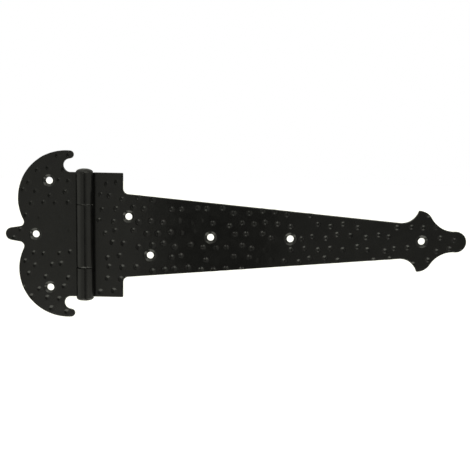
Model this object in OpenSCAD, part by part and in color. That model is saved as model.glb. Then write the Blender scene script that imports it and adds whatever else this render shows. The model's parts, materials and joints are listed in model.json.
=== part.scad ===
// Ornamental tee hinge: a lobed frame leaf and a long tapered strap leaf,
// each one sheet rolled into knuckles, joined by a headed pin.
// The pin's axis is parallel to Z, the strap points along +X, the backs of
// both leaves lie on the plane y = 0 and the fronts face -Y.

/* [Sheet and pin] */
// Thickness of the steel sheet
sheet_t = 2; // [1.8:0.1:2.2]
// Diameter of the hinge pin
pin_d = 7; // [6:0.1:7.4]
// Radial clearance between the pin and the rolled knuckles
pin_clearance = 0.05; // [0.02:0.01:0.1]
// Height of the domed head on the pin's upper end
dome_h = 2.7; // [2.2:0.1:3]
// Height of the flatter, peened head on its lower end
peen_h = 1.1; // [0.9:0.1:1.5]

/* [Barrel] */
// Height of the barrel, from end to end of the knuckles
barrel_h = 81.7; // [80:0.1:83]
// Height of the middle knuckle
middle_knuckle_h = 41.2; // [30:0.1:50]
// Gap between neighbouring knuckles
knuckle_gap = 0.3; // [0.2:0.05:0.6]
// How far each knuckle is rolled round the pin, in degrees
roll_angle = 302; // [290:1:305]
// Gap between the barrel and the edge of the other leaf
barrel_relief = 0.3; // [0.2:0.05:0.6]

/* [Frame leaf] */
// Radius of the two round lobes
lobe_r = 31.5; // [31:0.1:32]
// Distance of the lobes' centres from the pin axis
lobe_x = 12.4; // [12:0.1:13]
// Height of each lobe's centre above and below the middle
lobe_z = 23.2; // [23:0.1:23.8]
// Radius of the round tip of each horn
horn_r = 2.5; // [2.2:0.1:2.6]
// Direction from each lobe's centre to its horn's tip, in degrees
horn_angle = 85.6; // [84:0.1:87]
// Radius of the round bite under each horn
bite_r = 4.3; // [4:0.1:4.5]
// Distance of the bites' centres from the pin axis
bite_x = 10.1; // [9.8:0.1:10.6]
// Radius of the end of the pointed nub
nub_r = 4.1; // [3.6:0.1:4.5]
// Distance of the nub's tip from the pin axis
nub_reach = 52.2; // [51.5:0.1:53]
// Angle at which each side of the nub widens
nub_angle = 9.6; // [8:0.1:11]
// Fillet radius between the nub and the lobes
nub_fillet_r = 3; // [2:0.1:3.5]

/* [Strap leaf] */
// Distance of the strap's tip from the pin axis
strap_reach = 247.8; // [246:0.1:249]
// Distance of the tee head's far edge from the pin axis
head_x = 24.1; // [22:0.1:27]
// Fillet radius in the inner corners of the tee head
head_fillet_r = 3.6; // [2:0.1:5]
// Half of the strap's width where it leaves the tee head
strap_half_w = 27.5; // [26.5:0.1:28]
// Narrowing of the strap's half width over its length
strap_taper = 0.087; // [0.085:0.001:0.09]
// Distance of the hollows' centres, behind the barbs, from the pin axis
hollow_x = 205.2; // [204:0.1:206]
// Radius of those hollows
hollow_r = 11.5; // [11:0.1:12]
// Angle, below the level line, at which the hollow meets the barb's point
barb_angle = 16; // [13:1:19]
// Radius of the round shoulder in front of each barb
shoulder_r = 9.9; // [9.5:0.1:10.5]
// Radius of the hollow curve at the finial's waist
waist_r = 17.5; // [16:0.1:18.5]
// Radius of the finial's round tip
tip_r = 6.8; // [6.4:0.1:7.2]

/* [Screw holes] */
// Diameter of the screw holes
hole_d = 4.5; // [4.2:0.1:5]
// Diameter of the countersinks at the front face
countersink_d = 8; // [7:0.1:8.3]
// Distance of the frame leaf's outer pair of holes from the pin axis
frame_pair_x = 23.6; // [22:0.1:25]
// Height of that pair above and below the middle
frame_pair_z = 35.1; // [33:0.1:36]
// Distance of the frame leaf's middle hole from the pin axis
frame_mid_x = 32.7; // [31:0.1:34]
// Distance of the strap leaf's first hole from the pin axis
strap_hole_1_x = 27.7; // [26:0.1:29]
// Distance of its second hole
strap_hole_2_x = 41.8; // [40:0.1:44]
// Distance of its third hole
strap_hole_3_x = 81.1; // [78:0.1:84]
// Distance of its fourth hole
strap_hole_4_x = 133.1; // [130:0.1:136]
// Distance of its fifth hole, between the barbs
strap_hole_5_x = 218.8; // [216:0.1:221]
// Height of the first strap hole above the middle, and of the second below it
strap_stagger = 12.6; // [11:0.1:14]

/* [Hidden] */
bore_r = pin_d / 2 + pin_clearance;
knuckle_r = bore_r + sheet_t;
half_h = barrel_h / 2;
seam_z = middle_knuckle_h / 2;
half_gap = knuckle_gap / 2;
// A leaf's edge beside the other leaf's knuckle clears the barrel's round.
relief_r = knuckle_r + barrel_relief;
relief_rise = knuckle_r - sheet_t;
relief_x = sqrt(relief_r * relief_r - relief_rise * relief_rise);
// The domed head covers the knuckle's end, the peened one leaves a rim.
dome_r = knuckle_r - 0.05;
peen_r = knuckle_r - 0.3;
// Direction from each shoulder's centre to its barb's point
shoulder_angle = 90;
countersink_depth = (countersink_d - hole_d) / 2;
arc_step = 5;
round_fn = 96;
eps = 0.01;

// Points along an arc, from angle a0 to angle a1, both ends included.
function arc(centre, r, a0, a1) =
    let (steps = max(2, ceil(abs(a1 - a0) / arc_step)))
    [for (i = [0:steps])
        centre + turned(r, a0 + (a1 - a0) * i / steps)];

// The point at distance r and angle a from the origin.
function turned(r, a) = [r * cos(a), r * sin(a)];

// Direction from p to q, in degrees from 0 up to 360.
function bearing(p, q) =
    let (a = atan2(q[1] - p[1], q[0] - p[0]))
    a < 0 ? a + 360 : a;

// Where two circles cross, on the left of the way from p to q.
function crossing(p, rp, q, rq) =
    let (d = q - p,
         span = norm(d),
         along = (rp * rp - rq * rq + span * span) / (2 * span),
         across = sqrt(rp * rp - along * along))
    p + d * (along / span) + [-d[1], d[0]] * (across / span);

// The points reflected below the middle line, in reverse, to close an outline.
function reflected(points) =
    [for (i = [len(points) - 1:-1:0]) [points[i][0], -points[i][1]]];

// Upper half of the frame leaf, from the nub's tip to its barrel edge.
function frame_half() =
    let (lobe = [-lobe_x, lobe_z],
         bite = [-bite_x, half_h + bite_r],
         horn = lobe + turned(lobe_r - horn_r, horn_angle),
         lean = acos(min(1, (bite_r + horn_r) / norm(bite - horn))),
         nub = [-nub_reach + nub_r, 0],
         along = turned(1, nub_angle),
         foot = nub + turned(nub_r + nub_fillet_r, nub_angle + 90),
         reach = lobe_r + nub_fillet_r,
         lead = (lobe - foot) * along,
         apart = norm(lobe - foot),
         run = lead - sqrt(lead * lead - apart * apart + reach * reach),
         fillet = foot + run * along)
    concat(
        arc(nub, nub_r, 180, nub_angle + 90),
        arc(fillet, nub_fillet_r, nub_angle - 90, bearing(fillet, lobe)),
        arc(lobe, lobe_r, bearing(lobe, fillet), horn_angle),
        arc(horn, horn_r, horn_angle, bearing(horn, bite) - 360 + lean),
        arc(bite, bite_r, bearing(bite, horn) + lean, 270),
        [[0, half_h],
         [0, seam_z + half_gap],
         [-relief_x, seam_z + half_gap]]);

// Upper half of the strap leaf, from its barrel edge to the finial's tip.
function strap_half() =
    let (slope = atan(strap_taper),
         lift = 1 / cos(slope),
         inner = [head_x + head_fillet_r,
                  strap_half_w - strap_taper * head_fillet_r
                  + head_fillet_r * lift],
         hollow = [hollow_x,
                   strap_half_w - strap_taper * (hollow_x - head_x)
                   + hollow_r * lift],
         barb = hollow + turned(hollow_r, -barb_angle),
         shoulder = barb - turned(shoulder_r, shoulder_angle),
         tip = [strap_reach - tip_r, 0],
         waist = crossing(shoulder, shoulder_r + waist_r, tip, tip_r + waist_r))
    concat(
        [[0, seam_z - half_gap],
         [relief_x, seam_z - half_gap],
         [relief_x, half_h],
         [head_x, half_h]],
        arc(inner, head_fillet_r, 180, 270 - slope),
        arc(hollow, hollow_r, 270 - slope, 360 - barb_angle),
        arc(shoulder, shoulder_r, shoulder_angle, bearing(shoulder, waist)),
        arc(waist, waist_r, bearing(waist, shoulder), bearing(waist, tip)),
        arc(tip, tip_r, bearing(tip, waist), 0));

// A flat blank with its back on the plane y = 0, from the upper half outline.
module blank(upper) {
    rotate([90, 0, 0])
        linear_extrude(sheet_t)
            polygon(concat(upper, reflected(upper)));
}

// A countersunk screw hole through the sheet at distance x and height z.
module screw_hole(x, z) {
    translate([x, 0, z])
        rotate([90, 0, 0]) {
            translate([0, 0, -eps])
                cylinder(h = sheet_t + 2 * eps, d = hole_d, $fn = round_fn);
            translate([0, 0, sheet_t - countersink_depth])
                cylinder(h = countersink_depth + eps, d1 = hole_d,
                         d2 = countersink_d + 2 * eps, $fn = round_fn);
        }
}

// The sheet rolled round the pin from height z0 up to z1. It leaves the blank
// at the back and turns counter-clockwise from above if turn is 1.
module knuckle(z0, z1, turn) {
    translate([0, -knuckle_r, z0])
        rotate_extrude(angle = roll_angle, start = turn > 0 ? 90 : 90 - roll_angle,
                       $fn = round_fn)
            translate([bore_r, 0])
                square([sheet_t, z1 - z0]);
}

module frame_leaf() {
    color([0.13, 0.13, 0.14]) {
        difference() {
            blank(frame_half());
            screw_hole(-frame_mid_x, 0);
            for (side = [-1, 1])
                screw_hole(-frame_pair_x, side * frame_pair_z);
        }
        knuckle(seam_z + half_gap, half_h, -1);
        knuckle(-half_h, -seam_z - half_gap, -1);
    }
}

module strap_leaf() {
    color([0.2, 0.2, 0.22]) {
        difference() {
            blank(strap_half());
            screw_hole(strap_hole_1_x, strap_stagger);
            screw_hole(strap_hole_2_x, -strap_stagger);
            for (x = [strap_hole_3_x, strap_hole_4_x, strap_hole_5_x])
                screw_hole(x, 0);
        }
        knuckle(-seam_z + half_gap, seam_z - half_gap, 1);
    }
}

// Points of a domed head's profile, from its rim up to its crown on the axis.
function dome(r, h, z, way) =
    let (ball = (r * r + h * h) / (2 * h),
         spread = asin(r / ball))
    [for (p = arc([0, 0], ball, 90 - spread, 90))
        [max(0, p[0]), z + way * (p[1] - ball + h)]];

module hinge_pin() {
    peened = dome(peen_r, peen_h, -half_h, -1);
    color([0.35, 0.35, 0.37])
        translate([0, -knuckle_r, 0])
            rotate_extrude($fn = round_fn)
                polygon(concat(
                    [for (i = [len(peened) - 1:-1:0]) peened[i]],
                    [[pin_d / 2, -half_h], [pin_d / 2, half_h]],
                    dome(dome_r, dome_h, half_h, 1)));
}

frame_leaf();
strap_leaf();
hinge_pin();
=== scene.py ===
import json
import math
import random

import bpy
import numpy as np
from mathutils import Matrix, Vector, noise
from mathutils.geometry import delaunay_2d_cdt


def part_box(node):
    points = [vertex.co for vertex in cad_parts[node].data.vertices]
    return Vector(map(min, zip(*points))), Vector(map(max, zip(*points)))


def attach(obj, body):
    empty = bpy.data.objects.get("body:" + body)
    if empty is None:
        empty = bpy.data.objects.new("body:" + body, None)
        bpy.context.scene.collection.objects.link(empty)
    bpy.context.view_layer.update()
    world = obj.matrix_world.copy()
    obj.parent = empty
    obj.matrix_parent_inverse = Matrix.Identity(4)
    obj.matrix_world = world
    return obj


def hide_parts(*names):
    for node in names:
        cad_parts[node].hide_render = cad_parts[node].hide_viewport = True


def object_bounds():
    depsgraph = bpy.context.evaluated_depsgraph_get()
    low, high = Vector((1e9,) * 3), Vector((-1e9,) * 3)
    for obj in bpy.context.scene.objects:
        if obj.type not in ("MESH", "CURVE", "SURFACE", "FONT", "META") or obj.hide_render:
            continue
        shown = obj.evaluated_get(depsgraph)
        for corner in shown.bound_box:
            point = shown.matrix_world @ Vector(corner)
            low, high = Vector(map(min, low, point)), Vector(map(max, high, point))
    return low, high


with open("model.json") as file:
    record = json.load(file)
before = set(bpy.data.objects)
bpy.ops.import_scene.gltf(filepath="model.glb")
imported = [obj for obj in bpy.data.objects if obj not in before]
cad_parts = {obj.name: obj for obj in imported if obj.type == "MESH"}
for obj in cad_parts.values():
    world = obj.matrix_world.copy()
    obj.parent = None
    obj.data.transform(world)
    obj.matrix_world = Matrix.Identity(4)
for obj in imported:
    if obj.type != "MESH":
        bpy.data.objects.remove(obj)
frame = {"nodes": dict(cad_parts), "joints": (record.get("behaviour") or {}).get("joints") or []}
cad_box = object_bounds()

MM = 0.001
SEED = 11

# Lengths in the mesh code are in millimetres. A leaf is first a flat blank:
# u runs from the leaf's edge, over the pin axis at 0, into the tabs that are
# rolled into knuckles, z is up, and w is the height above the leaf's back.

# ------------------------------------------------------------ coat and edges
FRONT_ROUND = 0.45      # radius of the front edges under the coat
BACK_ROUND = 0.22       # radius of the back edges
KNUCKLE_EASE = 0.35     # share of those radii at the knuckles' ends
CORNER_ROUND = 0.6      # radius of the outline's corners, seen from the front
LARGEST_RIM = 12        # a wider loop than this on the front isn't a hole's
RIM_ROUND = 1.2         # radius of the countersinks' rims
RIM_SLOPE = math.radians(35)
WAVES = (0.05, 24)      # height and length of the slow waves in the sheet
WAVES_FADE = 12         # how far from the pin axis they start to fade
CREASE = math.radians(50)
# Rounded edges inside a hole, each point as how far it is out from the hole's
# radius and up from the countersink's foot, or up from the leaf's back.
HOLE_TOP = ((0.12, 0.09), (0.03, 0), (0, -0.08))
HOLE_FOOT = ((0, 0.1), (0.04, 0.03), (0.12, 0))

# The middle knuckle's lower end is worn round its outside. The wear starts, is
# full, starts to end and ends at these turns round the pin, in degrees. Its
# shape runs from the end face to the outside: shares of the height and depth.
WORN_LEAF = "strap_leaf"
WORN_TURN = (50, 90, 185, 240)
WORN_HEIGHT, WORN_DEPTH = 1.1, 0.28
WORN_SHAPE = ((0, 1), (0.4, 0.55), (1, 0))

# --------------------------------------------------- spacing of mesh points
ROLL_STEP = math.radians(5)
EDGE_STEP = 0.7
TAB_STEP = 1.5
FRONT_STEP = 1.6
BACK_STEP = 2.6
HOLE_SIDES = 48
DENT_GAP, TAB_GAP = 0.28, 0.25      # from inner points to the outlines
NEAR = 0.01             # places closer together than this are the same
# The CAD's outline: a longer side than this is straight and a greater turn is
# a corner. The rest are chords of arcs. Corners are rounded in these steps.
LONG_SIDE = 3.5
CORNER_TURN = math.radians(20)
CORNER_STEP = math.radians(18)
CORNER_SHARE = 0.9      # of a side, at most, is taken by rounding its corner
DENT_ROOM = 1.35        # radii of a dent that its own rings of points fill

# -------------------------------------------------------------------- finish
COAT_DARK, COAT_PALE = (0.0016, 0.0016, 0.0016), (0.003, 0.003, 0.0029)
BASE_ROUGHNESS, BASE_SPECULAR = 0.5, 0.055
GLOSS_WEIGHT, GLOSS_IOR = 0.152, 2.2
LEAF_ROUGHNESS, PIN_ROUGHNESS = 0.18, 0.17
SMOOTHER, ROUGHER = -0.04, 0.05     # patches of the gloss
# Noises of the coat: length of a lump, in mm, and detail.
SHADE_NOISE, GLOSS_NOISE = (9, 5), (6, 4)
PEEL_NOISE, GRAIN_NOISE = (1.4, 1), (0.3, 2)
PEEL_HEIGHT, GRAIN_HEIGHT = 0.012, 0.002
NOISE_LOW, NOISE_HIGH = 0.3, 0.7    # most of a noise's values are between these

# --------------------------------------------------------------------- dents
DENT_PITCH = (8.4, 7.8)  # along the strap and across it
DENT_JITTER = 1.8
DENT_SKIPPED = 0.06     # share of the dents that are missing
DENT_R = (1.9, 2.2)
DENT_DEPTH = (0.36, 0.47)
DENT_LIP = 0.02         # height of the lip round a dent
LIP_AT, LIP_WIDTH, LIP_END = 1.08, 0.2, 1.8     # as shares of the dent's radius
# Rings of mesh points on a dent: share of its radius, and number of points.
DENT_RINGS = ((0, 1), (0.22, 6), (0.45, 10), (0.68, 14), (0.88, 16), (1.08, 16), (1.3, 14))
DENT_PAST_EDGE = 0.6    # furthest that a dent's centre is past the outline
DENT_CLEARANCE = 2.2    # from a countersink's edge
DENT_FROM_AXIS = 8      # from the pin axis
# Patches of each leaf where the hammering is faint: x, z and radius.
FAINT = {"frame_leaf": [(-20, 3, 15)], "strap_leaf": [(69, 8, 10), (87, -14, 7), (118, -13, 9)]}
FAINTNESS = 0.85        # share of the dents' depth that is missing there
EDGE_BULGE = 0.12       # how far a dent pushes out the edge beside it
BULGE_END = 1.6         # and over how many of its radii

# ------------------------------------------------------------- the pin's heads
PIN_SIDES = 72
DOME_RIM = 0.35         # height of the upright rim under the dome
DOME_FULLNESS = 0.9     # under 1, the dome is fuller than an ellipse
HAMMERED = (0.08, 2.2)  # height and length of the waves in both heads
# Rounded edges, each point as how far out and up it is from the head's corner.
HEAD_EDGE = ((0, 0.2), (-0.08, 0.04), (-0.25, 0))
PEEN_EDGE = ((-0.2, 0), (0, -0.18), (-0.05, -0.4))
# The peened head: how far in from its edge, and the share of its height.
PEEN_SHAPE = ((-0.35, 0.62), (-1.0, 0.88), (-1.6, 0.97))
PEEN_FLAT = (-2.8, 0.01)


# ---------------------------------------------------------- reading the CAD
def welded(node):
    """Points, in mm, and faces of a CAD node, with equal points joined."""
    mesh = frame["nodes"][node].data
    places, index = {}, []
    for vertex in mesh.vertices:
        point = tuple(round(c / MM, 4) for c in vertex.co)
        index.append(places.setdefault(point, len(places)))
    faces = [[index[i] for i in face.vertices] for face in mesh.polygons]
    return np.array(list(places)), [f for f in faces if len(set(f)) == len(f)]


def plane_loops(points, faces, y):
    """Boundary loops, as (x, z) arrays, of the faces on the plane at y."""
    used = set()
    for face in faces:
        if all(abs(points[i][1] - y) < 0.002 for i in face):
            used.update(zip(face, face[1:] + face[:1]))
    following = {a: b for a, b in used if (b, a) not in used}
    loops = []
    while following:
        start, here = following.popitem()
        chain = [start]
        while here != start:
            chain.append(here)
            here = following.pop(here)
        loops.append(points[chain][:, [0, 2]])
    return sorted(loops, key=lambda p: -np.ptp(p[:, 1]))


def sheet_thickness(points, faces):
    """Depth of the leaf's flat front: the plane facing -Y with most area."""
    areas = {}
    for face in faces:
        a, b, c = (points[i] for i in face[:3])
        normal = np.cross(b - a, c - a) / 2
        if normal[1] < -0.999 * np.linalg.norm(normal):
            depth = round(-a[1], 2)
            areas[depth] = areas.get(depth, 0) - normal[1]
    return max(areas, key=areas.get)


def barrel_radius():
    """The pin's axis is this far in front of the leaves' backs."""
    return -frame["joints"][0]["pos_m"][1] / MM


def circle_of(loop):
    """Centre and radius of a round loop."""
    centre = (loop.min(axis=0) + loop.max(axis=0)) / 2
    return centre, float(np.linalg.norm(loop - centre, axis=1).max())


def roll_angle(points, side, barrel_r):
    """Angle that the leaf's tabs turn round the pin, from the back plane."""
    away = np.hypot(points[:, 0], points[:, 1] + barrel_r)
    rolled = points[np.abs(away - barrel_r) < 0.02]
    turn = np.arctan2(side * rolled[:, 0], rolled[:, 1] + barrel_r)
    turn = np.where(turn < -NEAR, turn + 2 * math.pi, turn)
    return float(turn.max())


# ------------------------------------------------------------ flat outlines
def smooth_outline(corners, roll_step):
    """The outline with arcs in place of short chords and rounded corners."""
    count = len(corners)
    ahead = np.roll(corners, -1, axis=0) - corners
    length = np.linalg.norm(ahead, axis=1)
    heading = np.arctan2(ahead[:, 1], ahead[:, 0])
    turn = heading - np.roll(heading, 1)
    turn = (turn + math.pi) % (2 * math.pi) - math.pi
    sharp = np.abs(turn) > CORNER_TURN

    starts, ends, tangents = corners.copy(), corners.copy(), heading.copy()
    arcs = {}
    for i in range(count):
        before = i - 1
        if sharp[i]:
            room = CORNER_SHARE * min(length[i], length[before])
            ends[i], arcs[i], starts[i] = rounded_corner(
                corners[i], heading[before], heading[i], turn[i], room)
        elif length[i] <= LONG_SIDE < length[before]:
            tangents[i] = heading[before]
        elif length[i] <= LONG_SIDE:
            share = length[before] / (length[before] + length[i])
            tangents[i] = heading[before] + turn[i] * share

    points = []
    for i in range(count):
        after = (i + 1) % count
        p, q = starts[i], ends[after]
        span = np.linalg.norm(q - p)
        leave = heading[i] if sharp[i] else tangents[i]
        reach = heading[i] if sharp[after] else tangents[after]
        if length[i] > LONG_SIDE:
            leave = reach = heading[i]
        step = edge_step(corners[i], corners[after], roll_step)
        steps = max(1, math.ceil(span / step))
        points += [hermite(p, q, leave, reach, span, k / steps) for k in range(steps)]
        if sharp[after]:
            points += [q] + arcs[after]
    return np.array(points)


def rounded_corner(corner, arriving, leaving, turn, room):
    """Where the rounding starts, the points between, and where it ends."""
    cut = min(CORNER_ROUND * math.tan(abs(turn) / 2), room)
    back = direction(arriving)
    start = corner - cut * back
    radius = math.copysign(cut / math.tan(abs(turn) / 2), turn)
    centre = start + radius * np.array([-back[1], back[0]])
    steps = max(2, math.ceil(abs(turn) / CORNER_STEP))
    arc = [centre + turned(start - centre, turn * k / steps) for k in range(1, steps)]
    return start, arc, corner + cut * direction(leaving)


def edge_step(a, b, roll_step):
    """Spacing of points along one side of the outline."""
    if min(a[0], b[0]) < -NEAR:
        return EDGE_STEP
    return TAB_STEP if abs(a[0] - b[0]) < abs(a[1] - b[1]) else roll_step


def direction(angle):
    """The arrow of length 1 with this heading."""
    return np.array([math.cos(angle), math.sin(angle)])


def turned(arrow, angle):
    """The arrow turned counter-clockwise by an angle."""
    c, s = math.cos(angle), math.sin(angle)
    return np.array([c * arrow[0] - s * arrow[1], s * arrow[0] + c * arrow[1]])


def hermite(p, q, leave, reach, span, t):
    """A point of the curve from p to q with the given headings at its ends."""
    go = span * direction(leave)
    come = span * direction(reach)
    return ((2 * t ** 3 - 3 * t * t + 1) * p + (t ** 3 - 2 * t * t + t) * go
            + (3 * t * t - 2 * t ** 3) * q + (t ** 3 - t * t) * come)


def outward(loop):
    """Mitred outward directions at the points of a counter-clockwise loop."""
    ahead = np.roll(loop, -1, axis=0) - loop
    ahead /= np.linalg.norm(ahead, axis=1)[:, None]
    normal = np.stack([ahead[:, 1], -ahead[:, 0]], axis=1)
    before = np.roll(normal, 1, axis=0)
    return (normal + before) / (1 + (normal * before).sum(axis=1))[:, None]


def area_of(loop):
    """Signed area of a closed loop."""
    x, z = loop.T
    return float((x * np.roll(z, -1) - z * np.roll(x, -1)).sum() / 2)


def inside(loop, points):
    """Whether each point is inside the closed loop."""
    crossings = np.zeros(len(points), int)
    for a, b in zip(loop, np.roll(loop, -1, axis=0)):
        between = (a[1] > points[:, 1]) != (b[1] > points[:, 1])
        rise = b[1] - a[1] if b[1] != a[1] else 1
        at = a[0] + (points[:, 1] - a[1]) * (b[0] - a[0]) / rise
        crossings += between & (points[:, 0] < at)
    return crossings % 2 == 1


def distance(loop, points):
    """Distance from each point to the closed loop."""
    best = np.full(len(points), 1e9)
    for a, b in zip(loop, np.roll(loop, -1, axis=0)):
        side = b - a
        along = np.clip(((points - a) @ side) / (side @ side), 0, 1)
        gap = points - a - along[:, None] * side
        best = np.minimum(best, (gap ** 2).sum(axis=1))
    return np.sqrt(best)


# -------------------------------------------------------------------- leaves
def scatter_dents(loop, holes, faint, rng):
    """Centres, radii and depths of the hammered dents on a leaf's front."""
    low, high = loop.min(axis=0), loop.max(axis=0)
    columns = math.ceil((high[0] - low[0]) / DENT_PITCH[0]) + 2
    rows = math.ceil((high[1] - low[1]) / DENT_PITCH[1]) + 2
    found = []
    for j in range(rows):
        for i in range(columns):
            x = low[0] + (i - 0.5 * (j % 2)) * DENT_PITCH[0]
            z = low[1] + (j - 0.5) * DENT_PITCH[1]
            found.append((x + rng.uniform(-1, 1) * DENT_JITTER,
                          z + rng.uniform(-1, 1) * DENT_JITTER,
                          rng.uniform(*DENT_R),
                          rng.uniform(*DENT_DEPTH),
                          rng.random()))
    dents = np.array(found)
    centres = dents[:, :2]
    past_edge = np.where(inside(loop, centres), -1, 1) * distance(loop, centres)
    keep = (past_edge < DENT_PAST_EDGE) & (centres[:, 0] < -DENT_FROM_AXIS)
    keep &= dents[:, 4] > DENT_SKIPPED
    for centre, rim in holes:
        keep &= np.linalg.norm(centres - centre, axis=1) > rim + DENT_CLEARANCE
    for x, z, radius in faint:
        near = ((centres - (x, z)) ** 2).sum(axis=1) / radius ** 2
        dents[:, 3] *= 1 - FAINTNESS * np.exp(-near ** 2)
    return dents[keep][:, :4]


def dent_height(points, dents):
    """How far the dents raise, or lower, the front face at each point."""
    height = np.zeros(len(points))
    for x, z, radius, depth in dents:
        q = np.hypot(points[:, 0] - x, points[:, 1] - z) / radius
        near = q < LIP_END
        bowl = -depth * np.clip(1 - q[near] ** 2, 0, 1) ** 2
        lip = DENT_LIP * np.exp(-((q[near] - LIP_AT) / LIP_WIDTH) ** 2)
        height[near] += bowl + lip
    return height


def unevenness(points, amount, wavelength):
    """Slow waves that rolling and stamping leave in a sheet."""
    return np.array([amount * noise.noise(Vector((u, z, SEED * wavelength)) / wavelength)
                     * min(1, max(0, -u / WAVES_FADE)) for u, z in points])


def dent_points(dents, loops):
    """Mesh points in rings on each dent."""
    found = []
    for x, z, radius, _ in dents:
        for q, count in DENT_RINGS:
            for k in range(count):
                angle = 2 * math.pi * (k + 0.5 * (count % 3)) / count
                found.append((x + q * radius * math.cos(angle),
                              z + q * radius * math.sin(angle)))
    found = np.array(found).reshape(-1, 2)
    return found[clear_of(loops, found, DENT_GAP)]


def clear_of(loops, points, gap):
    """Whether each point is on the sheet, at least gap from each loop."""
    fine = inside(loops[0], points)
    for loop in loops[1:]:
        fine &= ~inside(loop, points)
    for loop in loops:
        fine &= distance(loop, points) > gap
    return fine


def filler(loops, step, dents, roll_step):
    """Mesh points between the dents, in a hexagonal grid, and in the tabs."""
    low, high = loops[0].min(axis=0), loops[0].max(axis=0)
    rise = step * math.sqrt(0.75)
    found = [(u + step / 2 * (j % 2), z)
             for j, z in enumerate(np.arange(low[1], high[1], rise))
             for u in np.arange(low[0], -0.6 * step, step)]
    found = np.array(found)
    keep = clear_of(loops, found, 0.5 * step)
    for x, z, radius, _ in dents:
        keep &= np.hypot(found[:, 0] - x, found[:, 1] - z) > DENT_ROOM * radius + 0.4 * step
    rows = np.arange(low[1] + TAB_STEP / 2, high[1], TAB_STEP)
    rolled = np.array([(u, z) for u in np.arange(0, high[0], roll_step) for z in rows])
    return np.concatenate([found[keep], rolled[clear_of(loops, rolled, TAB_GAP)]])


def triangles(loops, points):
    """Triangles over the loops' points and then the inner points."""
    everything = np.concatenate([*loops, points])
    edges, first = [], 0
    for loop in loops:
        index = range(first, first + len(loop))
        edges += [(i, i + 1) for i in index[:-1]] + [(index[-1], first)]
        first += len(loop)
    made = delaunay_2d_cdt([Vector(p) for p in everything], edges, [], 0, 1e-5)
    back = [origin[0] for origin in made[3]]
    faces = np.array([[back[i] for i in face] for face in made[2]])
    middles = everything[faces].mean(axis=1)
    keep = inside(loops[0], middles)
    for loop in loops[1:]:
        keep &= ~inside(loop, middles)
    return faces[keep]


def rim_profile(rim, hole, land, thickness):
    """Radius and height from a countersink's rim down to its hole's back."""
    slope = math.atan2(thickness - land, rim - hole)
    start = rim + RIM_ROUND * math.tan(slope / 2)
    profile = [(start - RIM_ROUND * math.sin(a), thickness - RIM_ROUND * (1 - math.cos(a)))
               for a in np.linspace(0, slope, 6)]
    halfway = (profile[-1][0] + hole) / 2
    profile += [(halfway, land + (halfway - hole) * math.tan(slope))]
    profile += [(hole + out, land + up) for out, up in HOLE_TOP]
    return profile + [(hole + out, up) for out, up in HOLE_FOOT]


def edge_profile(thickness):
    """Inset and height round the edge of the sheet, from front to back."""
    front = [(FRONT_ROUND * (1 - math.sin(a)), thickness - FRONT_ROUND * (1 - math.cos(a)))
             for a in np.radians([0, 22.5, 45, 67.5, 90])]
    back = [(BACK_ROUND * (1 - math.cos(a)), BACK_ROUND * (1 - math.sin(a)))
            for a in np.radians([0, 45, 90])]
    return front + back


def wear_at(loop, neutral):
    """Share of the wear at each outline point: it is on the tab's lower end."""
    end = loop[loop[:, 0] > 0, 1].min()
    turns = np.degrees(loop[:, 0] / neutral)
    return np.where(loop[:, 1] < end + NEAR, np.interp(turns, WORN_TURN, (0, 1, 1, 0)), 0)


def rolled_up(sheet, side, barrel_r, thickness):
    """Points of the blank, (u, z, w), as they are on the finished leaf."""
    u, z, w = sheet.T
    neutral = barrel_r - thickness / 2
    turn = np.clip(u, 0, None) / neutral
    reach = barrel_r - w
    x = np.where(u > 0, reach * np.sin(turn), u)
    y = np.where(u > 0, reach * np.cos(turn) - barrel_r, -w)
    return np.stack([side * x, y, z], axis=1) * MM


def screw_holes(back_loops, front_loops, thickness, side):
    """Centre, radius, rim's radius and land of each countersunk hole."""
    rims = [circle_of(loop) for loop in front_loops if np.ptp(loop[:, 0]) < LARGEST_RIM]
    holes = []
    for loop in back_loops[1:]:
        centre, radius = circle_of(loop)
        rim = min(rims, key=lambda r: np.linalg.norm(r[0] - centre))[1]
        land = thickness - (rim - radius) * math.tan(RIM_SLOPE)
        holes.append((centre * [side, 1], radius, rim, land))
    return holes


def blank_corners(outline, side, tab_length):
    """The leaf's outline, counter-clockwise, with its tabs laid out flat."""
    outline = outline * [side, 1]
    if area_of(outline) < 0:
        outline = outline[::-1]
    corners = []
    for a, b in zip(outline, np.roll(outline, -1, axis=0)):
        corners.append(a)
        if abs(a[0]) < NEAR and abs(b[0]) < NEAR:
            corners += [(tab_length, a[1]), (tab_length, b[1])]
    return np.array(corners)


def bulged(loop, dents):
    """The outline, pushed out a little beside each dent."""
    out = outward(loop)
    for x, z, radius, _ in dents:
        q = np.hypot(loop[:, 0] - x, loop[:, 1] - z) / (BULGE_END * radius)
        loop = loop + out * (EDGE_BULGE * np.clip(1 - q * q, 0, 1) ** 2)[:, None]
    return loop


def edge_rings(loop, thickness, wear):
    """Rings of points, with heights, from front to back round the edge.

    The last three round the back, which is the outside of a rolled tab.
    """
    out = outward(loop) * np.interp(loop[:, 0], [-3, 0], [1, KNUCKLE_EASE])[:, None]
    rings = [(loop - out * inset, w) for inset, w in edge_profile(thickness)]
    for i, (up, deep) in zip((-3, -2, -1), WORN_SHAPE):
        ring, w = rings[i]
        raised = np.outer(wear, (0, up * WORN_HEIGHT))
        rings[i] = (ring + raised, w + wear * deep * WORN_DEPTH)
    return rings


def hole_rings(centre, radius, rim, land, thickness):
    """Rings of points, with heights, from front to back down a hole."""
    around = [2 * math.pi * k / HOLE_SIDES for k in range(HOLE_SIDES)]
    circle = np.array([(math.cos(a), math.sin(a)) for a in around])
    return [(centre + circle * r, w) for r, w in rim_profile(rim, radius, land, thickness)]


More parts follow.
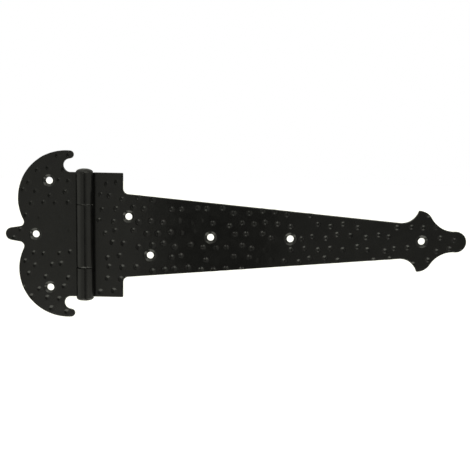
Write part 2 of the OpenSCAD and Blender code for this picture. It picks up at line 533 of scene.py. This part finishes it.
def sheet_mesh(stacks, front_inner, back_inner, thickness):
    """Flat points, heights and faces of a sheet closed between its rings."""
    flat, height, faces, first = [], [], [], 0
    ring_starts = []
    for stack in stacks:
        starts = []
        for ring, w in stack:
            flat.append(ring)
            height.append(np.zeros(len(ring)) + w)
            starts.append(first)
            first += len(ring)
        ring_starts.append(starts)
        count = len(stack[0][0])
        for a, b in zip(starts, starts[1:]):
            faces += [(a + i, a + (i + 1) % count, b + (i + 1) % count, b + i)
                      for i in range(count)]
    for face, inner, w in ((0, front_inner, thickness), (-1, back_inner, 0.0)):
        rings = [stack[face][0] for stack in stacks]
        index = np.concatenate(
            [np.arange(s[face], s[face] + len(r)) for s, r in zip(ring_starts, rings)]
            + [np.arange(first, first + len(inner))])
        faces += [tuple(index[list(corners)]) for corners in triangles(rings, inner)]
        flat.append(inner)
        height.append(np.full(len(inner), w))
        first += len(inner)
    return np.concatenate(flat), np.concatenate(height), faces


def make_leaf(node, body, side):
    """A leaf in one sheet: edge, holes, dents and rolled knuckles."""
    points, faces = welded(node)
    thickness = sheet_thickness(points, faces)
    barrel_r = barrel_radius()
    neutral = barrel_r - thickness / 2
    roll_step = neutral * ROLL_STEP
    tab_length = neutral * roll_angle(points, side, barrel_r)
    back_loops = plane_loops(points, faces, 0)
    front_loops = plane_loops(points, faces, -thickness)

    holes = screw_holes(back_loops, front_loops, thickness, side)
    loop = smooth_outline(blank_corners(back_loops[0], side, tab_length), roll_step)
    faint = [(side * x, z, radius) for x, z, radius in FAINT[node]]
    rims = [(centre, rim) for centre, _, rim, _ in holes]
    dents = scatter_dents(loop, rims, faint, random.Random(SEED + side))
    loop = bulged(loop, dents)
    wear = wear_at(loop, neutral) if node == WORN_LEAF else np.zeros(len(loop))

    stacks = [edge_rings(loop, thickness, wear)]
    stacks += [hole_rings(*hole, thickness) for hole in holes]
    front_rings = [stack[0][0] for stack in stacks]
    back_rings = [stack[-1][0] for stack in stacks]
    front_inner = np.concatenate([dent_points(dents, front_rings),
                                  filler(front_rings, FRONT_STEP, dents, roll_step)])
    back_inner = filler(back_rings, BACK_STEP, [], roll_step)
    flat, height, faces = sheet_mesh(stacks, front_inner, back_inner, thickness)

    share = np.clip(height / thickness, 0, 1)
    height = height + share * (dent_height(flat, dents) + unevenness(flat, *WAVES))
    sheet = np.column_stack([flat, height])
    places = rolled_up(sheet, side, barrel_r, thickness)
    piece = new_piece(node + "_sheet", places, faces)
    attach(piece, body)
    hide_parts(node)
    return piece


def new_piece(name, places, faces):
    """A smooth-shaded mesh object with its faces turned outward."""
    mesh = bpy.data.meshes.new(name)
    mesh.from_pydata([tuple(p) for p in places], [], [tuple(map(int, f)) for f in faces])
    mesh.validate()
    piece = bpy.data.objects.new(name, mesh)
    bpy.context.scene.collection.objects.link(piece)
    bpy.context.view_layer.objects.active = piece
    piece.select_set(True)
    bpy.ops.object.mode_set(mode="EDIT")
    bpy.ops.mesh.select_all(action="SELECT")
    bpy.ops.mesh.normals_make_consistent(inside=False)
    bpy.ops.object.mode_set(mode="OBJECT")
    piece.select_set(False)
    mesh.shade_smooth()
    mesh.set_sharp_from_angle(angle=CREASE)
    weighted = piece.modifiers.new("flat faces stay flat", "WEIGHTED_NORMAL")
    weighted.keep_sharp = True
    return piece


# ----------------------------------------------------------------------- pin
def pin_profile(points, barrel_r, low, high):
    """Radius and height from the dome down, and the shank's top and foot."""
    radius = np.hypot(points[:, 0], points[:, 1] + barrel_r)
    head_r = float(radius.max())
    top = float(points[radius > head_r - 0.05][:, 2].max())
    shank_r = float(radius[np.abs(points[:, 2] - top) < NEAR].min())
    below = points[(points[:, 2] < 0) & (radius > shank_r + 1)]
    foot = float(below[:, 2].max())
    foot_r = float(np.hypot(below[:, 0], below[:, 1] + barrel_r).max())

    dome = top + DOME_RIM
    profile = [(0, high)]
    profile += [(head_r * math.sin(a) ** DOME_FULLNESS, dome + (high - dome) * math.cos(a))
                for a in np.radians(np.arange(8, 91, 8))]
    profile += [(head_r + out, top + up) for out, up in HEAD_EDGE]
    profile += [(shank_r, top), (shank_r, foot)]
    profile += [(foot_r + out, foot + up) for out, up in PEEN_EDGE]
    profile += [(foot_r + out, foot - share * (foot - low)) for out, share in PEEN_SHAPE]
    profile += [(foot_r + PEEN_FLAT[0], low + PEEN_FLAT[1]), (0, low)]
    return profile, top, foot


def make_pin(node, body):
    """The pin as a turned piece: a domed head above, a peened one below."""
    low, high = (Vector(c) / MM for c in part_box(node))
    barrel_r = barrel_radius()
    profile, top, foot = pin_profile(welded(node)[0], barrel_r, low.z, high.z)
    height, length = HAMMERED
    places, starts = [], []
    for r, z in profile:
        starts.append(len(places))
        for k in range(1 if r == 0 else PIN_SIDES):
            angle = 2 * math.pi * k / PIN_SIDES
            x, y = r * math.cos(angle), r * math.sin(angle)
            on_a_head = z < foot - 0.3 or z > top + 0.5
            push = height * noise.noise(Vector((x, y, z)) / length) if on_a_head else 0
            places.append((x, y - barrel_r, z + push))
    faces = []
    for i, (a, b) in enumerate(zip(starts, starts[1:])):
        for k in range(PIN_SIDES):
            after = (k + 1) % PIN_SIDES
            if i == 0:
                faces.append((a, b + k, b + after))
            elif i == len(starts) - 2:
                faces.append((a + k, a + after, b))
            else:
                faces.append((a + k, a + after, b + after, b + k))
    piece = new_piece(node + "_turned", np.array(places) * MM, faces)
    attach(piece, body)
    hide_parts(node)
    return piece


# ----------------------------------------------------------------- materials
def node_of(tree, kind, **settings):
    """A new shader node with the given properties and input values."""
    made = tree.nodes.new(kind)
    for key, value in settings.items():
        if key in made.inputs:
            made.inputs[key].default_value = value
        else:
            setattr(made, key, value)
    return made


def noise_at(tree, place, wavelength, detail):
    """Noise whose lumps are about one wavelength apart, in mm."""
    made = node_of(tree, "ShaderNodeTexNoise", Scale=1 / (wavelength * MM), Detail=detail)
    tree.links.new(place.outputs["Object"], made.inputs["Vector"])
    return made.outputs["Fac"]


def spread(tree, value, low, high):
    """The noise value stretched to run from low to high."""
    made = node_of(tree, "ShaderNodeMapRange")
    made.inputs["From Min"].default_value = NOISE_LOW
    made.inputs["From Max"].default_value = NOISE_HIGH
    made.inputs["To Min"].default_value = low
    made.inputs["To Max"].default_value = high
    tree.links.new(value, made.inputs["Value"])
    return made.outputs["Result"]


def coat(name, roughness):
    """Black powder coat: orange peel, a fine grain and patchy gloss."""
    material = bpy.data.materials.new(name)
    material.use_nodes = True
    tree = material.node_tree
    shader = tree.nodes["Principled BSDF"]
    place = node_of(tree, "ShaderNodeTexCoord")

    colours = node_of(tree, "ShaderNodeValToRGB")
    colours.color_ramp.elements[0].position = 0.35
    colours.color_ramp.elements[0].color = (*COAT_DARK, 1)
    colours.color_ramp.elements[1].position = 0.65
    colours.color_ramp.elements[1].color = (*COAT_PALE, 1)
    tree.links.new(noise_at(tree, place, *SHADE_NOISE), colours.inputs["Fac"])
    tree.links.new(colours.outputs["Color"], shader.inputs["Base Color"])

    shader.inputs["Roughness"].default_value = BASE_ROUGHNESS
    shader.inputs["Specular IOR Level"].default_value = BASE_SPECULAR
    shader.inputs["Coat Weight"].default_value = GLOSS_WEIGHT
    shader.inputs["Coat IOR"].default_value = GLOSS_IOR
    gloss = spread(tree, noise_at(tree, place, *GLOSS_NOISE),
                   roughness + SMOOTHER, roughness + ROUGHER)
    tree.links.new(gloss, shader.inputs["Coat Roughness"])

    peel = node_of(tree, "ShaderNodeBump", Strength=1.0, Distance=PEEL_HEIGHT * MM)
    tree.links.new(noise_at(tree, place, *PEEL_NOISE), peel.inputs["Height"])
    grain = node_of(tree, "ShaderNodeBump", Strength=1.0, Distance=GRAIN_HEIGHT * MM)
    tree.links.new(noise_at(tree, place, *GRAIN_NOISE), grain.inputs["Height"])
    tree.links.new(peel.outputs["Normal"], grain.inputs["Normal"])
    tree.links.new(grain.outputs["Normal"], shader.inputs["Normal"])
    tree.links.new(grain.outputs["Normal"], shader.inputs["Coat Normal"])
    return material


# --------------------------------------------------------- camera and studio
AZIMUTH, ELEVATION, ROLL = (math.radians(a) for a in (-0.155, 8, 1.134))
CAMERA_DISTANCE = 505.6 * MM
LENS_MM, SENSOR_MM = 59.58, 36
AIM_OFFSET = Vector((-0.81, 3.05, 2.08)) * MM   # from the middle of the CAD box
NEAR_CLIP, FAR_CLIP = 0.01, 30

WHITE = (1, 1, 1, 1)
LIGHT = (1, 1, 0.88, 1)         # the studio's light is slightly warm
# Smooth steps in the surround's glow. Each runs between two pairs: how far the
# way points to the right, up or back, and the glow, or its share, that it adds.
LEFT_GLOW = (-0.95, 1.05), (-0.45, 0.62)
FRONT_GLOW = (-0.15, 0), (0.12, -0.33)
RIGHT_GLOW = (0.3, 0), (0.8, 0.4)
BACK_GLOW = (0.1, 0), (0.5, 0.5)
TOP_GLOW = (0.6, 0), (0.85, 1.4)
TOP_SHARE = (-0.45, 1), (-0.1, 0.3)

# Cards that only reflections see, in metres from the middle.
FLAG = (-0.105, 0.06), (-0.75, 0.22), -0.53         # x, z, and its one y
TABLES = (-0.22, -0.055, 3.3), (0.042, 0.24, 4.0)   # x, and glow
TABLE_DEPTH, TABLE_Z = (-0.3, 0.2), -0.17           # y, and its one z
SOFTBOX = (-0.02, 0.4), (-0.5, 0.18), (-0.3, 0.42)  # x, then y and z of two edges
SOFTBOX_GLOW = 3.3
CARD_SHADE = 0.02

FLOOR_HALF, FLOOR_DROP = 6.0, 0.35      # half its side, and how far it is below
FLOOR_SHADE, FLOOR_ROUGHNESS, FLOOR_GLOW = 0.9, 0.9, 0.3

toward_camera = Vector((math.sin(AZIMUTH) * math.cos(ELEVATION),
                        -math.cos(AZIMUTH) * math.cos(ELEVATION),
                        math.sin(ELEVATION)))
level = Vector((math.cos(AZIMUTH), math.sin(AZIMUTH), 0))
upright = toward_camera.cross(level)
middle = (cad_box[0] + cad_box[1]) / 2


def make_camera():
    """The camera at the photograph's angle, turned a little on its axis."""
    right = math.cos(ROLL) * level + math.sin(ROLL) * upright
    above = math.cos(ROLL) * upright - math.sin(ROLL) * level
    data = bpy.data.cameras.new("camera")
    data.sensor_width, data.lens = SENSOR_MM, LENS_MM
    data.clip_start, data.clip_end = NEAR_CLIP, FAR_CLIP
    camera = bpy.data.objects.new("camera", data)
    facing = Matrix((right, above, toward_camera)).transposed().to_4x4()
    place = middle + AIM_OFFSET + toward_camera * CAMERA_DISTANCE
    camera.matrix_world = Matrix.Translation(place) @ facing
    bpy.context.scene.collection.objects.link(camera)
    bpy.context.scene.camera = camera


def make_quad(name, place, corners, shade, light, glow):
    """A flat piece of the studio, and its shader."""
    mesh = bpy.data.meshes.new(name)
    mesh.from_pydata(corners, [], [(0, 1, 2, 3)])
    quad = bpy.data.objects.new(name, mesh)
    quad.location = place
    bpy.context.scene.collection.objects.link(quad)
    material = bpy.data.materials.new(name)
    material.use_nodes = True
    mesh.materials.append(material)
    shader = material.node_tree.nodes["Principled BSDF"]
    shader.inputs["Base Color"].default_value = (shade, shade, shade, 1)
    shader.inputs["Emission Color"].default_value = light
    shader.inputs["Emission Strength"].default_value = glow
    return quad, shader


def make_card(name, corners, glow):
    """A dark or shining card that only reflections see."""
    card, _ = make_quad(name, middle, corners, CARD_SHADE, LIGHT, glow)
    card.visible_camera = card.visible_diffuse = card.visible_shadow = False


def make_cards():
    """A dark card behind the camera, two tables below and a light above."""
    (left, right), (low, high), depth = FLAG
    make_card("flag", [(left, depth, low), (right, depth, low), (right, depth, high),
                       (left, depth, high)], 0)
    near, far = TABLE_DEPTH
    for left, right, glow in TABLES:
        make_card("table", [(left, near, TABLE_Z), (right, near, TABLE_Z),
                            (right, far, TABLE_Z), (left, far, TABLE_Z)], glow)
    (left, right), (near, low), (far, high) = SOFTBOX
    make_card("softbox", [(left, near, low), (right, near, low), (right, far, high),
                          (left, far, high)], SOFTBOX_GLOW)


def make_world():
    """The studio as the hinge sees it, and plain white to the camera.

    It is dim in front, round the camera, brighter to the left and the right,
    with a soft light above and a grey wall behind.
    """
    world = bpy.data.worlds.new("studio")
    world.use_nodes = True
    bpy.context.scene.world = world
    tree = world.node_tree
    tree.nodes.clear()
    place = node_of(tree, "ShaderNodeTexCoord")
    way = node_of(tree, "ShaderNodeSeparateXYZ")
    tree.links.new(place.outputs["Generated"], way.inputs[0])
    x, y, z = way.outputs
    side = calculate(tree, "ADD", ramp(tree, x, *LEFT_GLOW), ramp(tree, x, *FRONT_GLOW))
    side = calculate(tree, "ADD", side, ramp(tree, x, *RIGHT_GLOW))
    top = calculate(tree, "MULTIPLY", ramp(tree, z, *TOP_GLOW), ramp(tree, y, *TOP_SHARE))
    back = ramp(tree, y, *BACK_GLOW)
    glow = calculate(tree, "ADD", side, calculate(tree, "ADD", top, back))
    studio = node_of(tree, "ShaderNodeBackground", Color=LIGHT)
    tree.links.new(glow, studio.inputs["Strength"])
    plain = node_of(tree, "ShaderNodeBackground", Color=WHITE, Strength=1.0)
    seen = node_of(tree, "ShaderNodeLightPath")
    mix = node_of(tree, "ShaderNodeMixShader")
    tree.links.new(seen.outputs["Is Camera Ray"], mix.inputs[0])
    tree.links.new(studio.outputs[0], mix.inputs[1])
    tree.links.new(plain.outputs[0], mix.inputs[2])
    output = node_of(tree, "ShaderNodeOutputWorld")
    tree.links.new(mix.outputs[0], output.inputs["Surface"])


def calculate(tree, operation, *values):
    """A math node's result."""
    made = node_of(tree, "ShaderNodeMath", operation=operation)
    for socket, value in zip(made.inputs, values):
        tree.links.new(value, socket)
    return made.outputs[0]


def ramp(tree, value, start, end):
    """A smooth step from start to end, each an (input, output) pair."""
    made = node_of(tree, "ShaderNodeMapRange", interpolation_type="SMOOTHSTEP")
    made.inputs["From Min"].default_value, made.inputs["To Min"].default_value = start
    made.inputs["From Max"].default_value, made.inputs["To Max"].default_value = end
    tree.links.new(value, made.inputs["Value"])
    return made.outputs["Result"]


def make_floor():
    """A wide pale floor well below the hinge."""
    corners = [(x * FLOOR_HALF, y * FLOOR_HALF, 0) for x, y in ((-1, -1), (1, -1), (1, 1), (-1, 1))]
    place = (middle.x, 0, cad_box[0].z - FLOOR_DROP)
    floor, shader = make_quad("floor", place, corners, FLOOR_SHADE, WHITE, FLOOR_GLOW)
    shader.inputs["Roughness"].default_value = FLOOR_ROUGHNESS
    floor.visible_glossy = False


make_camera()
make_world()
make_floor()
make_cards()
bpy.context.scene.view_settings.view_transform = "Standard"

leaf_coat = coat("leaf_coat_black", LEAF_ROUGHNESS)
pin_coat = coat("pin_coat_black", PIN_ROUGHNESS)
frame_leaf = make_leaf("frame_leaf", "frame_leaf", 1)
frame_leaf.data.materials.append(leaf_coat)
strap_leaf = make_leaf("strap_leaf", "strap_leaf", -1)
strap_leaf.data.materials.append(leaf_coat)
pin = make_pin("hinge_pin", "frame_leaf")
pin.data.materials.append(pin_coat)
